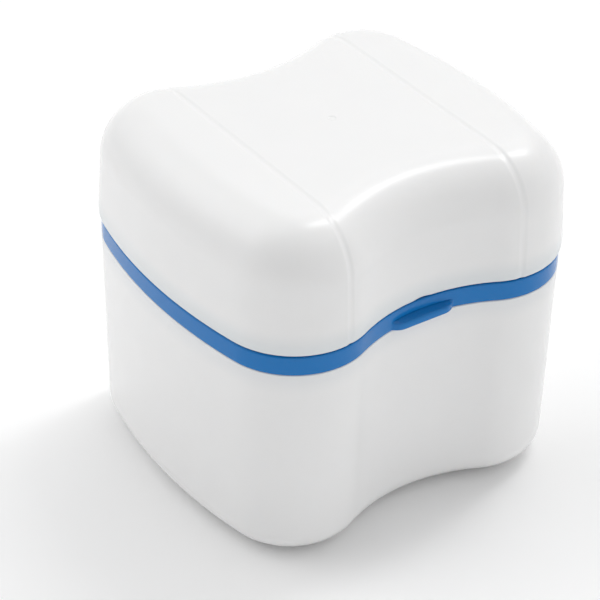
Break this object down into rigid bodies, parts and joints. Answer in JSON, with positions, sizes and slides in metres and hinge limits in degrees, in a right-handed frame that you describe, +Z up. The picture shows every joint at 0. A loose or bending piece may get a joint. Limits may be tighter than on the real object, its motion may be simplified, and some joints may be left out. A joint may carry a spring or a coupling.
{
  "type": "orthodontic retainer case",
  "caption": "Waisted soaking case for a dental retainer: white tub and hinged domed lid, with a blue strainer basket whose rim shows as a band with a thumb tab.",
  "frame": {"origin": "on the table, under the middle of the case", "axes": "+X to the right across the bulged sides, +Y to the back with the hinge, +Z up; the thumb tab faces -Y"},
  "size_m": [0.0852, 0.0762, 0.0773],
  "materials": {
    "white_plastic": "smooth moulded, semi-gloss",
    "blue_plastic": "smooth moulded, semi-gloss",
    "silicone": "soft matt silicone",
    "pin_steel": "drawn stainless wire"
  },
  "bodies": {
    "tub": {"base_tub": "white_plastic"},
    "basket": {"strainer_basket": "blue_plastic", "tub_seal": "silicone", "hinge_pin": "pin_steel"},
    "lid": {"lid_shell": "white_plastic", "lid_seal": "silicone"}
  },
  "joints": [
    {"name": "basket_lift", "type": "slide", "parent": "tub", "child": "basket", "axis": [0, 0, 1], "range_m": [0, 0.06]},
    {"name": "lid_hinge", "type": "hinge", "parent": "basket", "child": "lid", "pos_m": [0, 0.0359, 0.0483], "axis": [-1, 0, 0], "range_deg": [0, 115]}
  ]
}
